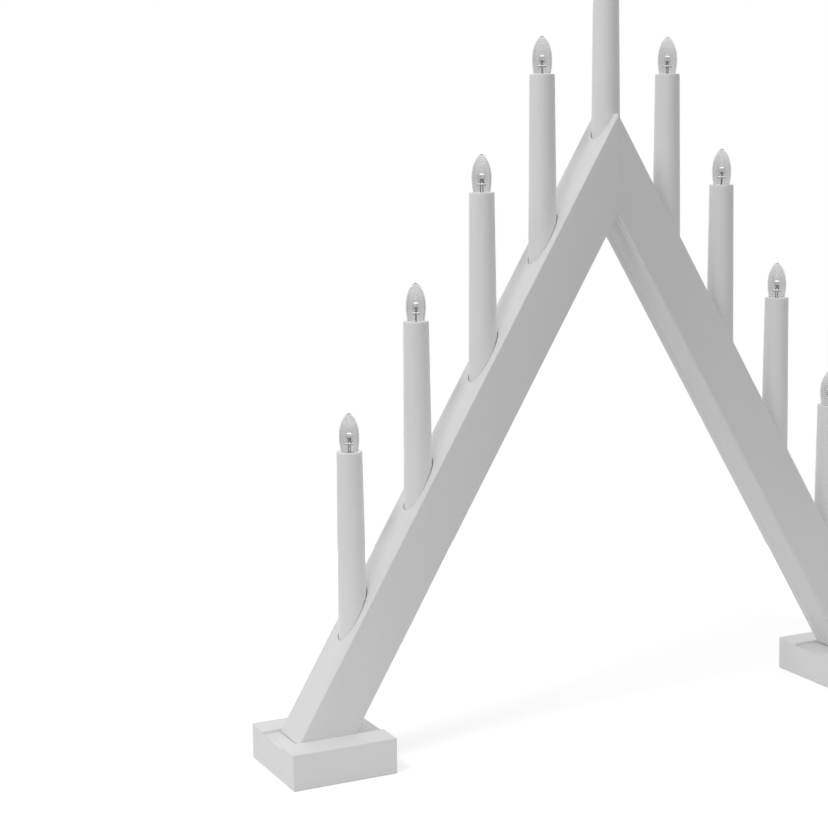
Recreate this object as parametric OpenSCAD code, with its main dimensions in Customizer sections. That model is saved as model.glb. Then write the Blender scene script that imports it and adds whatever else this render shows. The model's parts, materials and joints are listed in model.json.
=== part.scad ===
// Advent candle holder: two leaning wooden legs that meet at the top, each standing in the groove of a
// square foot, with nine upright candles that carry small screw-in lamps.
// X runs along the holder, the front faces -Y, and the feet stand on Z = 0.

/* [Holder] */
// Width over the two feet
span = 554; // [500:2:620]
// Angle of the legs above the table
leg_angle = 59; // [56:0.5:62]

/* [Legs] */
// Depth of a leg, front to back
leg_depth = 35.5; // [33:0.5:45]
// Thickness of a leg, square to its slope
leg_thickness = 37.6; // [36:0.2:46]
// Distance from a foot's outer side to the outer corner of the leg in it
leg_inset = 13.1; // [8:0.1:18]
// Width of the eased edges of the wood
edge_ease = 0.7; // [0.3:0.1:1.5]

/* [Feet] */
// Width of a foot along the holder
foot_width = 80; // [76:1:110]
// Depth of a foot, front to back
foot_depth = 80; // [60:1:120]
// Height of a foot
foot_height = 26.5; // [20:0.5:36]
// Depth of the groove that the leg stands in
groove_depth = 2.3; // [1:0.1:4]
// Clearance on each side of the leg in its groove
groove_clearance = 0.1; // [0.05:0.05:0.4]

/* [Candle places] */
// Distance from the top candle to the next one down
top_gap = 54; // [46:0.5:56]
// Distance between the two upper candles of a leg
upper_gap = 50.3; // [44:0.1:56]
// Distance from the lowest candle to the outer corner of the leg
heel_gap = 51.6; // [48:0.1:60]

/* [Candle sleeves] */
// Height of a sleeve's rim above the leg, on the sleeve's axis
sleeve_stand = 119; // [80:1:160]
// Diameter of a sleeve at its rim
sleeve_top_d = 18.4; // [18:0.1:20]
// Diameter of a sleeve where it enters the wood
sleeve_base_d = 21; // [20:0.1:23]
// Clearance all round a sleeve in its hole
sleeve_clearance = 0.45; // [0.2:0.05:0.5]
// Wall of a sleeve
sleeve_wall = 1.4; // [1:0.1:1.6]
// Thickness of the lip that is turned in at the rim
lip_thickness = 1.6; // [1:0.1:2.5]
// Clearance between the lip and the lamp
lip_clearance = 0.6; // [0.4:0.1:0.9]
// Radius of the rounded rim
rim_round = 0.9; // [0.4:0.1:1.2]
// Least wood left between a sleeve's hole and the wire channel, measured upright
hole_floor = 5.5; // [3:0.5:7]

/* [Lamps] */
// Greatest diameter of the glass
glass_d = 14.6; // [13.6:0.1:15.6]
// Height of the glass above the rim
glass_height = 27.2; // [22:0.2:34]
// Height of the widest place above the rim
glass_belly = 10.5; // [8:0.5:12]
// Depth of the glass below the rim
glass_neck = 4.5; // [3.5:0.1:6]
// Wall of the glass
glass_wall = 0.7; // [0.5:0.1:1]
// Diameter of the screw cap
cap_d = 9.4; // [9:0.1:9.6]
// Length of the screw cap
cap_length = 9.5; // [8:0.5:11]
// Depth of the glass's skirt in the screw cap
glass_skirt = 2.5; // [1.5:0.1:4]
// Wall of the screw cap
cap_wall = 0.3; // [0.2:0.05:0.5]
// Height of the insulating end of the cap
insulator_height = 1.5; // [1:0.1:2.5]
// Width of the sloped edge round the insulating end
insulator_edge = 0.9; // [0.6:0.1:1.2]
// Diameter of the contact tip
tip_d = 3.2; // [2.6:0.1:4]
// Height of the contact tip
tip_height = 1.2; // [0.8:0.1:2]
// Diameter of the diode
diode_d = 5; // [4:0.1:5.4]
// Height of the diode
diode_height = 7.6; // [6:0.1:9]
// How far the rim at the diode's foot stands out
diode_flange = 0.4; // [0.2:0.1:0.6]
// Height of the rim at the diode's foot
diode_rim = 1; // [0.6:0.1:1.4]
// Height of the plate above the rim
plate_lift = 4.9; // [3:0.1:6]
// Diameter of the plate
plate_d = 6.4; // [5.8:0.1:7.4]
// Thickness of the plate
plate_thickness = 0.8; // [0.5:0.1:1.5]
// Distance between the two leads
lead_gap = 2.5; // [1.6:0.1:3]
// Width of a lead
lead_width = 0.5; // [0.4:0.1:0.8]

/* [Lamp holders] */
// Wall of the lamp holder round the screw shell
holder_wall = 1.5; // [1:0.1:1.8]
// Thickness of the lamp holder's bottom
holder_floor = 2; // [1.5:0.1:4]
// Clearance between pieces that are pushed together
push_clearance = 0.1; // [0.05:0.05:0.15]
// Wall of the screw shell
shell_wall = 0.3; // [0.2:0.05:0.4]
// Running clearance of the screw cap in its shell
thread_clearance = 0.08; // [0.04:0.01:0.1]
// Thickness of the centre contact
contact_thickness = 0.5; // [0.3:0.1:0.8]
// Width of the centre contact
contact_width = 4; // [3:0.1:5]

/* [Wire channel] */
// Width of the channel in the underside of a leg
channel_width = 12; // [10:0.5:14]
// Depth of the channel, with its cover
channel_depth = 10; // [9.5:0.1:11]
// Distance along the leg from its inner lower corner to the channel
channel_start = 10; // [8:0.5:14]
// Thickness of the channel's cover
cover_thickness = 3; // [2:0.1:3.2]
// How far the cover laps over the wood on each side
cover_lap = 3; // [2:0.5:4]
// Diameter of the hole from a sleeve down to the channel
wire_hole_d = 7; // [6:0.1:7.5]
// Diameter of a wire
wire_d = 1.4; // [1:0.1:1.5]
// Distance between the two wires of a lamp holder
wire_gap = 3.2; // [2.8:0.1:3.4]
// Radius of the wire's bends
wire_bend = 1.2; // [1:0.1:1.3]
// Distance of the return wire from the middle of the channel
return_offset = 3.6; // [3:0.1:4]
// How far short of the gland the wires stop, where the lead is joined on
wire_stop = 0.3; // [0.2:0.1:0.8]

/* [Joinery] */
// Diameter of the dowels in the mitre
dowel_d = 6; // [4:0.5:7]
// Length of the dowels in the mitre
dowel_length = 40; // [30:1:50]
// Distance of a dowel from the middle of the leg
dowel_offset = 11; // [10.5:0.1:12]
// Height of the top candle's hole above the dowels' axes
dowel_drop = 16; // [14:0.5:18]
// Diameter of the foot screws' shanks
screw_d = 4; // [3:0.5:5]
// Distance of the foot screws from the outer corner of the leg
screw_place = 30.5; // [28:0.5:34]
// Diameter of the foot screws' heads
screw_head_d = 8; // [7:0.5:9]
// Height of the foot screws' heads
screw_head_height = 3; // [2:0.5:4]
// How far a foot screw reaches into the leg
screw_grip = 28; // [25:0.5:32]
// Distance of a foot screw from the middle of the leg
screw_offset = 9; // [8:0.5:11]
// Length of a foot screw under its head
screw_length = 44; // [40:0.5:48]

/* [Cord gland] */
// Distance along the right leg from its inner lower corner to the gland
gland_place = 62; // [56:1:70]
// Diameter of the hole for the cord
cord_hole_d = 4.2; // [3.6:0.1:4.4]
// Wall of the gland
gland_wall = 1; // [0.8:0.1:1.1]
// Diameter of the gland's flange
gland_flange_d = 11; // [9.5:0.5:14]
// Thickness of the gland's flange
gland_flange = 1.8; // [1:0.1:3]

/* [Hidden] */
$fn = 48;
join = 0.01;
beyond = 60;
lamp_count = 9;
middle = 5;

half_span = span / 2;
heel = half_span - leg_inset;
// Distances of the candles from the middle, lowest first, and their places from left to right.
// The two lower gaps share what the others leave
reach_4 = top_gap;
reach_3 = reach_4 + upper_gap;
reach_1 = heel - heel_gap;
reach_2 = (reach_1 + reach_3) / 2;
candle_x = [-reach_1, -reach_2, -reach_3, -reach_4, 0, reach_4, reach_3, reach_2, reach_1];
// How far each lamp happens to be turned in its holder
lamp_turn = [35, 56, 20, 68, 10, 80, 42, 15, 62];

seat_z = foot_height - groove_depth;
leg_foot = leg_thickness / tan(leg_angle);
channel_x = leg_foot + channel_start;
ridge = seat_z + heel * tan(leg_angle);
leg_length = heel / cos(leg_angle) + leg_thickness;
screw_x = heel - screw_place;
counterbore_depth = seat_z + screw_grip - screw_length;
// How far a cut runs past the end of what it cuts
end_room = 1;

sleeve_hole_r = sleeve_base_d / 2 + sleeve_clearance;
sleeve_depth = (leg_thickness - channel_depth) / cos(leg_angle)
             - sleeve_hole_r * tan(leg_angle) - hole_floor;
sleeve_length = sleeve_stand + sleeve_depth;
sleeve_bore_top_r = sleeve_top_d / 2 - sleeve_wall;
lane_depth = (channel_depth + cover_thickness) / 2;
cover_width = channel_width + 2 * cover_lap;

// Heights in a lamp holder are measured from the rim of the sleeve
cap_bottom = -glass_neck - cap_length;
tip_bottom = cap_bottom - insulator_height - tip_height;
contact_bottom = tip_bottom - contact_thickness;
holder_bottom = contact_bottom - holder_floor;
cap_r = cap_d / 2;
cap_floor = cap_bottom + insulator_height;
shell_r = cap_d / 2 + thread_clearance + shell_wall;
holder_bore_r = shell_r + push_clearance;
holder_r = sleeve_bore_top_r - push_clearance;
holder_barrel_r = holder_bore_r + holder_wall;
glass_r = glass_d / 2;
gland_r = cord_hole_d / 2 + gland_wall;
// The flare of a lamp holder starts below the glass and ends at the lip, over these heights
flare = 1;
shoulder = 2;

function ridge_z(x) = seat_z + (heel - abs(x)) * tan(leg_angle);
function rim_z(i) = ridge_z(candle_x[i - 1]) + sleeve_stand;
// Height of the line that the wires follow in the channel
function lane_z(x) = ridge_z(x) - (leg_thickness - lane_depth) / cos(leg_angle);
// Half width of the glass at a height over the rim: a slow taper below the belly, which has drawn it in by
// waist_share at the rim, and above it an arch that is an ellipse at arch_power 0.5 and more pointed past it
waist_share = 0.144;
arch_power = 0.62;
function glass_width(h) =
    h < glass_belly
        ? glass_r * (1 - waist_share * pow((glass_belly - h) / glass_belly, 2))
        : glass_r * pow(max(0, 1 - pow((h - glass_belly) / (glass_height - glass_belly), 2)), arch_power);
lip_r = glass_width(0) + lip_clearance;
// Heights at which the glass's outline is drawn, closer together towards the tip
waist_steps = 4;
arch_steps = 8;
glass_heights = concat(
    [for (k = [0:waist_steps - 1]) -glass_neck + (glass_belly + glass_neck) * k / waist_steps],
    [for (k = [0:arch_steps]) glass_belly + (glass_height - glass_belly) * sin(90 * k / arch_steps)]);

module at_rim(i) {
    translate([candle_x[i - 1], 0, rim_z(i)]) children();
}

// A solid turned about Z from a list of [radius, height] points
module turned(points) {
    rotate_extrude() polygon(points);
}

module ring(outer_r, inner_r, bottom, top) {
    turned([[inner_r, bottom], [outer_r, bottom], [outer_r, top], [inner_r, top]]);
}

// The left leg's own frame: X runs up the slope from the outer lower corner, Z stands out of the upper face
module along_leg() {
    translate([-heel, 0, seat_z]) rotate([0, -leg_angle, 0]) children();
}

// A box along the leg, measured up the slope and up from the underside
module leg_box(from, to, width, bottom, top) {
    along_leg() translate([from, -width / 2, bottom - leg_thickness]) cube([to - from, width, top - bottom]);
}

// Everything left of the mitre and above the groove's floor
module left_half() {
    translate([-half_span - beyond, -leg_depth, seat_z]) cube([half_span + beyond, 2 * leg_depth, ridge]);
}

// A rectangle whose corners are cut off by the width of the eased edges
module eased_rectangle(width, height) {
    w = width / 2;
    h = height / 2;
    e = edge_ease;
    polygon([[-w + e, -h], [w - e, -h], [w, -h + e], [w, h - e],
             [w - e, h], [-w + e, h], [-w, h - e], [-w, -h + e]]);
}

module leg_blank() {
    intersection() {
        along_leg() translate([-leg_length, 0, -leg_thickness / 2])
            rotate([90, 0, 90]) linear_extrude(3 * leg_length) eased_rectangle(leg_depth, leg_thickness);
        left_half();
    }
}

// Upright holes for a sleeve and, below it, for its two wires
module candle_hole(x) {
    translate([x, 0, ridge_z(x) - sleeve_depth])
        cylinder(r = sleeve_hole_r, h = sleeve_depth + 2 * sleeve_hole_r * tan(leg_angle));
    translate([x, 0, lane_z(x)])
        cylinder(d = wire_hole_d, h = ridge_z(x) - sleeve_depth - lane_z(x) + join);
}

module at_dowels() {
    for (side = [-1, 1])
        translate([0, side * dowel_offset, ridge - sleeve_depth - dowel_drop]) rotate([0, 90, 0]) children();
}

module at_foot_screws() {
    for (side = [-1, 1]) translate([-screw_x, side * screw_offset, counterbore_depth]) children();
}

module leg() {
    difference() {
        leg_blank();
        for (i = [1:middle]) candle_hole(candle_x[i - 1]);
        leg_box(channel_x, 2 * leg_length, channel_width, -end_room, channel_depth);
        leg_box(channel_x - cover_lap, 2 * leg_length, cover_width, -end_room, cover_thickness);
        at_dowels()
            cylinder(d = dowel_d + 2 * push_clearance, h = dowel_length + 2 * end_room, center = true);
        at_foot_screws() cylinder(d = screw_d + 2 * push_clearance, h = screw_length + end_room);
    }
}

module left_leg() {
    color("white") leg();
}

// The gland's place: across the channel of the right leg, to its back
module at_gland() {
    mirror([1, 0, 0]) along_leg() translate([leg_foot + gland_place, 0, lane_depth - leg_thickness])
        rotate([-90, 0, 0]) children();
}

module right_leg() {
    color("white") difference() {
        mirror([1, 0, 0]) leg();
        at_gland() cylinder(r = gland_r + push_clearance, h = leg_depth);
    }
}

module foot() {
    groove = leg_depth + 2 * groove_clearance;
    translate([-half_span + foot_width / 2, 0, 0]) difference() {
        intersection() {
            linear_extrude(foot_height) eased_rectangle(foot_width, foot_depth);
            translate([0, foot_depth, foot_height / 2]) rotate([90, 0, 0])
                linear_extrude(2 * foot_depth) eased_rectangle(foot_width, foot_height);
            translate([-foot_width, 0, foot_height / 2]) rotate([90, 0, 90])
                linear_extrude(2 * foot_width) eased_rectangle(foot_depth, foot_height);
        }
        translate([-foot_width, -groove / 2, seat_z]) cube([2 * foot_width, groove, foot_height]);
    }
}

module foot_with_holes() {
    difference() {
        foot();
        at_foot_screws() {
            cylinder(d = screw_d + 2 * push_clearance, h = foot_height);
            translate([0, 0, -counterbore_depth - end_room])
                cylinder(d = screw_head_d + 2 * push_clearance, h = counterbore_depth + end_room);
        }
    }
}

module left_foot() {
    color("white") foot_with_holes();
}

module right_foot() {
    color("white") mirror([1, 0, 0]) foot_with_holes();
}

// The cover lies in a rebate, so its face is flush with the underside of the leg
module cover() {
    intersection() {
        leg_box(channel_x - cover_lap + push_clearance, 2 * leg_length,
                cover_width - 2 * push_clearance, 0, cover_thickness);
        left_half();
    }
}

module left_cover() {
    color("white") cover();
}

module right_cover() {
    color("white") mirror([1, 0, 0]) cover();
}

module apex_dowels() {
    color("burlywood") at_dowels() cylinder(d = dowel_d, h = dowel_length, center = true);
}

module foot_screws() {
    color("silver") for (side = [0, 1]) mirror([side, 0, 0]) at_foot_screws() {
        cylinder(d = screw_d, h = screw_length);
        translate([0, 0, -screw_head_height]) cylinder(d = screw_head_d, h = screw_head_height);
    }
}

module cord_gland() {
    color("white") at_gland() {
        translate([0, 0, channel_width / 2]) difference() {
            cylinder(r = gland_r, h = (leg_depth - channel_width) / 2 + gland_flange);
            translate([0, 0, -end_room]) cylinder(d = cord_hole_d, h = leg_depth);
        }
        translate([0, 0, leg_depth / 2]) ring(gland_flange_d / 2, gland_r, 0, gland_flange);
    }
}

// A sleeve tapers down to where it enters the wood, and its rim is rounded and turned in
module sleeve(i) {
    top_r = sleeve_top_d / 2;
    base_r = sleeve_base_d / 2;
    rounding = [for (a = [0:22.5:90]) [top_r - rim_round * (1 - cos(a)), -rim_round * (1 - sin(a))]];
    color("white") at_rim(i) turned(concat(
        [[base_r - sleeve_wall, -sleeve_length], [base_r, -sleeve_length], [base_r, -sleeve_stand]],
        rounding,
        [[lip_r, 0], [lip_r, -lip_thickness], [sleeve_bore_top_r, -lip_thickness]],
        [[sleeve_bore_top_r, holder_bottom], [base_r - sleeve_wall, -sleeve_stand]]));
}

// A holder hangs under the lip: a flared mouth round the lamp's neck, then a barrel round the screw shell
module lamp_holder() {
    mouth = -glass_neck - flare;
    difference() {
        turned([[0, holder_bottom], [holder_barrel_r, holder_bottom], [holder_barrel_r, mouth - shoulder],
                [holder_r, mouth], [holder_r, -lip_thickness], [0, -lip_thickness]]);
        turned([[0, contact_bottom], [holder_bore_r, contact_bottom], [holder_bore_r, mouth],
                [lip_r, -glass_neck], [lip_r, 0], [0, 0]]);
        for (side = [-1, 1]) translate([side * wire_gap / 2, 0, holder_bottom - end_room])
            cylinder(d = wire_d + 2 * push_clearance, h = holder_floor + 2 * end_room);
    }
}

module lamp_holders() {
    color("ivory") for (i = [1:lamp_count]) at_rim(i) lamp_holder();
}

module screw_shells() {
    color("gold") for (i = [1:lamp_count]) at_rim(i)
        ring(shell_r, shell_r - shell_wall, cap_bottom, -glass_neck - flare);
}

module centre_contacts() {
    color("gold") for (i = [1:lamp_count]) at_rim(i) translate([0, 0, contact_bottom]) intersection() {
        cylinder(r = holder_bore_r - push_clearance, h = contact_thickness);
        translate([-holder_bore_r, -contact_width / 2, 0])
            cube([2 * holder_bore_r, contact_width, contact_thickness]);
    }
}

// The glass is hollow, and its skirt stands in the screw cap
module lamp_glass(i) {
    hollow = 1 - glass_wall / glass_r;
    roof = 1 - glass_wall / (glass_height - glass_belly);
    skirt_r = cap_r - cap_wall - push_clearance;
    skirt = -glass_neck - glass_skirt;
    color("whitesmoke", 0.4) at_rim(i) turned(concat(
        [[skirt_r - glass_wall, skirt], [skirt_r, skirt], [skirt_r, -glass_neck]],
        [for (h = glass_heights) [glass_width(h), h]],
        [for (k = [len(glass_heights) - 1:-1:0]) let (h = glass_heights[k])
            [hollow * glass_width(h), h < glass_belly ? h : glass_belly + roof * (h - glass_belly)]],
        [[skirt_r - glass_wall, -glass_neck]]));
}

// The screw cap and the insulating end that closes it
module lamp_cap(i) {
    color("gold") at_rim(i) turned([
        [0, tip_bottom + tip_height], [cap_r - 2 * insulator_edge, tip_bottom + tip_height],
        [cap_r - insulator_edge, cap_bottom], [cap_r, cap_bottom], [cap_r, -glass_neck],
        [cap_r - cap_wall, -glass_neck], [cap_r - cap_wall, cap_floor], [0, cap_floor]]);
}

// The diode stands on its plate, and two leads run down to the insulating end of the cap
module lamp_core(i) {
    diode_r = diode_d / 2;
    foot_z = plate_lift + plate_thickness;
    dome_z = foot_z + diode_height - diode_r;
    color("lightgray") at_rim(i) rotate([0, 0, lamp_turn[i - 1]]) {
        turned(concat(
            [[0, foot_z], [diode_r + diode_flange, foot_z], [diode_r + diode_flange, foot_z + diode_rim]],
            [[diode_r, foot_z + diode_rim]],
            [for (a = [0:15:90]) [diode_r * cos(a), dome_z + diode_r * sin(a)]]));
        translate([0, 0, plate_lift]) cylinder(d = plate_d, h = plate_thickness);
        for (side = [-1, 1]) translate([side * lead_gap / 2 - lead_width / 2, -lead_width / 2, cap_floor])
            cube([lead_width, lead_width, plate_lift - cap_floor]);
    }
}

module lamp_tip(i) {
    color("silver") at_rim(i) translate([0, 0, tip_bottom]) cylinder(d = tip_d, h = tip_height);
}

// Wires: places in the channel are given on the left leg by the distance s up the slope from its inner
// lower corner and the distance y from its middle, and mirrored for the right leg
lane_local_z = lane_depth - leg_thickness;
slope = [cos(leg_angle), 0, sin(leg_angle)];
function lane_point(s, y) = [
    -heel + (leg_foot + s) * cos(leg_angle) - lane_local_z * sin(leg_angle),
    y,
    seat_z + (leg_foot + s) * sin(leg_angle) + lane_local_z * cos(leg_angle)];
function flip(p) = [-p[0], p[1], p[2]];
function flipped(route) = [for (p = route) flip(p)];
function terminal(i, side) = [candle_x[i - 1] + side * wire_gap / 2, 0, rim_z(i) + contact_bottom];

// From a lamp holder down into the channel, round a tight bend and up the slope
function drop_up(i) = let (
    top = terminal(i, 1),
    across = wire_bend * (1 + sin(leg_angle)),
    centre_z = lane_z(top[0] + across) + wire_bend * cos(leg_angle)) concat(
    [top],
    [for (a = [180:(leg_angle + 90) / 5:271 + leg_angle])
        [top[0] + wire_bend * (1 + cos(a)), 0, centre_z + wire_bend * sin(a)]]);
// Up the channel and, by an easy bend, up to the next lamp holder
function rise_to(i) = let (
    top = terminal(i, -1),
    back = wire_bend * (1 - sin(leg_angle)),
    centre_z = lane_z(top[0] - back) + wire_bend * cos(leg_angle)) concat(
    [for (a = [leg_angle - 90:(90 - leg_angle) / 2:0.1])
        [top[0] - wire_bend * (1 - cos(a)), 0, centre_z + wire_bend * sin(a)]],
    [top]);
// From the lowest lamp holder down into the channel and across to the return wire's line
function drop_aside() = let (
    top = terminal(1, -1),
    low_z = lane_z(top[0]),
    turn_y = return_offset - wire_bend) concat(
    [top],
    [for (a = [0:30:90]) [top[0], wire_bend * (1 - cos(a)), low_z + wire_bend * (1 - sin(a))]],
    [for (a = [0:30:90]) [top[0], turn_y + wire_bend * sin(a), low_z] + wire_bend * (1 - cos(a)) * slope]);
// Round the top of the holder, from one leg's channel into the other's
function over_top() = let (
    r = 2 * wire_bend,
    centre_z = lane_z(r * sin(leg_angle)) - r * cos(leg_angle))
    [for (a = [90 + leg_angle:-leg_angle / 3:89 - leg_angle])
        [r * cos(a), return_offset, centre_z + r * sin(a)]];
// Out to the gland, where the lead's wires are joined on, coming up the slope (way 1) or down it (way -1)
function into_gland(way) = let (
    r = channel_width / 2 - return_offset - wire_stop,
    s = gland_place - way * (wire_d / 2 + push_clearance))
    [for (a = [0:30:90]) lane_point(s, return_offset + r * (1 - cos(a))) - way * r * (1 - sin(a)) * slope];

module wire(route) {
    sides = 8;
    last = len(route) - 1;
    side_of = function (p) [p[0] > 0 ? sin(leg_angle) : -sin(leg_angle), 0, cos(leg_angle)];
    rings = [for (k = [0:last]) let (
        t = route[min(k + 1, last)] - route[max(k - 1, 0)],
        d = t / norm(t),
        n = side_of(route[k]),
        up = n - (n * d) * d,
        u = up / norm(up),
        v = cross(d, u))
        for (m = [0:sides - 1]) let (a = 360 * m / sides)
            route[k] + wire_d / 2 * (cos(a) * u + sin(a) * v)];
    walls = [for (k = [0:last - 1]) for (m = [0:sides - 1]) let (a = k * sides, b = (m + 1) % sides)
        each [[a + m, a + sides + m, a + b], [a + b, a + sides + m, a + sides + b]]];
    start = [[for (m = [0:sides - 1]) m]];
    end = [[for (m = [sides - 1:-1:0]) last * sides + m]];
    polyhedron(rings, concat(walls, start, end), convexity = 8);
}

module wiring() {
    color("dimgray") {
        for (i = [1:middle - 1]) {
            wire(concat(drop_up(i), rise_to(i + 1)));
            wire(flipped(concat(drop_up(i), rise_to(i + 1))));
        }
        wire(flipped(concat(drop_aside(), into_gland(1))));
        wire(concat(drop_aside(), over_top(), flipped(into_gland(-1))));
    }
}

left_leg();
right_leg();
left_foot();
right_foot();
left_cover();
right_cover();
apex_dowels();
foot_screws();
cord_gland();
wiring();
lamp_holders();
screw_shells();
centre_contacts();
for (i = [1:lamp_count]) {
    sleeve(i);
    lamp_glass(i);
    lamp_cap(i);
    lamp_core(i);
    lamp_tip(i);
}
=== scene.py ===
# Advent candle holder: the finish of the wood, of the candle sleeves and of the small screw-in lamps,
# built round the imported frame. Everything is in metres, and outlines are written in millimetres.
import json
import math

import bmesh
import bpy
import numpy as np
from mathutils import Matrix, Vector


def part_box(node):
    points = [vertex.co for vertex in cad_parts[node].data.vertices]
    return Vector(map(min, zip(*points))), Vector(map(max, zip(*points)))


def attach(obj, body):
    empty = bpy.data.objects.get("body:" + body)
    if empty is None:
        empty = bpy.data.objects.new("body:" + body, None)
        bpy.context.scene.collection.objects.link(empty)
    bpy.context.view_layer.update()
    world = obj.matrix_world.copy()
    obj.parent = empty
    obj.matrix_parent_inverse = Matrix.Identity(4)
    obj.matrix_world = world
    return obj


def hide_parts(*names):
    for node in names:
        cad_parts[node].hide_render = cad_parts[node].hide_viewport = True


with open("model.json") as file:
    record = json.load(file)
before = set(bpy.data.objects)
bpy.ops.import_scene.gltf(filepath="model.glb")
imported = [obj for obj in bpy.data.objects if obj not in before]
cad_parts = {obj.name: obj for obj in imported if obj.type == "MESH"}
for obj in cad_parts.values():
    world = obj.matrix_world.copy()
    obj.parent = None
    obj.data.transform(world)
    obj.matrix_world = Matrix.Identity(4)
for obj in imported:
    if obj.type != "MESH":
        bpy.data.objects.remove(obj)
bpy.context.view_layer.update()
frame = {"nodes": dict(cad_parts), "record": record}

mm = 0.001
white = (1, 1, 1, 1)
lampNumbers = range(1, 10)
legSlope = 59  # degrees above the table
print("frame loaded:", len(frame["nodes"]), "nodes")


def newObject(name, data):
    made = bpy.data.objects.new(name, data)
    bpy.context.scene.collection.objects.link(made)
    return made


def standing(place, right, top, back):
    # The matrix of a camera or a lamp at a place, which looks away from its back
    columns = [[*axis, 0] for axis in (right, top, back)] + [[*place, 1]]
    return Matrix(np.array(columns).T.tolist())


# Camera: where it stands, how far it turns to the right of +Y, tips down and rolls, in degrees, its lens and
# its sensor's width in millimetres, and how near and how far it sees
viewpoint = {
    "place": (-0.7229, -1.1699, 0.4577),
    "turn": 25.657,
    "tip": 9.024,
    "roll": -0.807,
    "lens": 79.26,
    "sensor": 36,
    "clip": (0.05, 50),
}


def makeCamera():
    turn, tip, roll = (math.radians(viewpoint[key]) for key in ("turn", "tip", "roll"))
    forward = np.array([math.sin(turn) * math.cos(tip), math.cos(turn) * math.cos(tip), -math.sin(tip)])
    level = np.array([math.cos(turn), -math.sin(turn), 0])
    upward = np.cross(level, forward)
    right = math.cos(roll) * level + math.sin(roll) * upward
    top = math.cos(roll) * upward - math.sin(roll) * level
    data = bpy.data.cameras.new("camera")
    data.lens = viewpoint["lens"]
    data.sensor_width = viewpoint["sensor"]
    data.clip_start, data.clip_end = viewpoint["clip"]
    camera = newObject("camera", data)
    camera.matrix_world = standing(viewpoint["place"], right, top, -forward)
    bpy.context.scene.camera = camera


makeCamera()
print("camera placed")

# The part of a noise that materials use, from its lower to its upper value
noiseMiddle = (0.3, 0.7)


def addNode(tree, kind, inputs, **settings):
    # A shader node with its settings and its inputs, each a value or another node's output
    node = tree.nodes.new("ShaderNode" + kind)
    for key, value in settings.items():
        setattr(node, key, value)
    for key, value in inputs.items():
        if isinstance(value, bpy.types.NodeSocket):
            tree.links.new(value, node.inputs[key])
        else:
            node.inputs[key].default_value = value
    return node


def newMaterial(name, **constants):
    # A material whose shader has these constants on its own sockets
    material = bpy.data.materials.new(name)
    material.use_nodes = True
    shader = material.node_tree.nodes["Principled BSDF"]
    for key, value in constants.items():
        shader.inputs[key.replace("_", " ")].default_value = value
    return material, material.node_tree, shader


def wire(tree, shader, **outputs):
    # Joins the shader's sockets of these names to other nodes' outputs
    for key, output in outputs.items():
        tree.links.new(output, shader.inputs[key.replace("_", " ")])


def calculated(tree, operation, *values, clamp=False):
    return addNode(tree, "Math", dict(enumerate(values)), operation=operation, use_clamp=clamp).outputs[0]


def ranged(tree, value, start, end, low, high, **settings):
    # Takes the range from start to end to the range from low to high, and holds it at both ends
    levels = {"Value": value, "From Min": start, "From Max": end, "To Min": low, "To Max": high}
    return addNode(tree, "MapRange", levels, **settings).outputs[0]


def spread(tree, noise, low, high):
    # Takes the middle part of a noise to the range from low to high
    return ranged(tree, noise, *noiseMiddle, low, high)


def strayed(tree, noise, middle, stray):
    # The same with a range that strays as far down as up from its middle
    return spread(tree, noise, middle - stray, middle + stray)


def marked(tree, name):
    # The value that a piece keeps on its points
    return addNode(tree, "Attribute", {}, attribute_name=name).outputs["Fac"]


def stretchedNoise(tree, tilt, stretch, detail, distortion=0.0):
    # Noise in object coordinates, turned about Y by tilt degrees and then stretched, in waves a metre
    place = addNode(tree, "TexCoord", {}).outputs["Object"]
    turned = addNode(tree, "Mapping", {"Vector": place, "Rotation": (0, math.radians(tilt), 0)})
    scaled = addNode(tree, "Mapping", {"Vector": turned.outputs[0], "Scale": stretch})
    noise = {"Vector": scaled.outputs[0], "Scale": 1.0, "Detail": detail, "Distortion": distortion}
    return addNode(tree, "TexNoise", noise).outputs["Fac"]


def noisesOf(tree, settings, tilt=0):
    # The noises of a material by name, each from its stretch, its detail and its distortion
    return {name: stretchedNoise(tree, tilt, *values) for name, values in settings["noises"].items()}


def greyTone(value):
    return (value, value, value, 1)


def greyOf(tree, value):
    # The same grey in all three channels
    return addNode(tree, "CombineColor", {"Red": value, "Green": value, "Blue": value}).outputs[0]


def tinted(tree, level, colour):
    # A colour whose brightness follows a level
    channels = {key: calculated(tree, "MULTIPLY", level, part)
                for key, part in zip(("Red", "Green", "Blue"), colour)}
    return addNode(tree, "CombineColor", channels).outputs[0]


def greyRamp(tree, value, stops):
    # Greys along a value, each stop a place from 0 to 1 and a grey, with an eased change between them
    ramp = addNode(tree, "ValToRGB", {"Fac": value})
    ramp.color_ramp.interpolation = "EASE"
    for place, grey in stops[1:-1]:
        ramp.color_ramp.elements.new(place)
    for element, (place, grey) in zip(ramp.color_ramp.elements, stops):
        element.position = place
        element.color = greyTone(grey)
    return ramp.outputs[0]


def bumpChain(tree, shader, noise, settings):
    # Bumps laid over each other in order, each with its strength and its depth in millimetres
    normal = None
    for name, (strength, depth) in settings["bumps"].items():
        inputs = {"Height": noise[name], "Strength": strength, "Distance": depth * mm}
        if normal:
            inputs["Normal"] = normal
        normal = addNode(tree, "Bump", inputs).outputs[0]
    tree.links.new(normal, shader.inputs["Normal"])


def anyRay(tree, *kinds):
    # 1 for a ray of one of these kinds
    path = addNode(tree, "LightPath", {})
    found = path.outputs[kinds[0]]
    for kind in kinds[1:]:
        found = calculated(tree, "MAXIMUM", found, path.outputs[kind])
    return found


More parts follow.
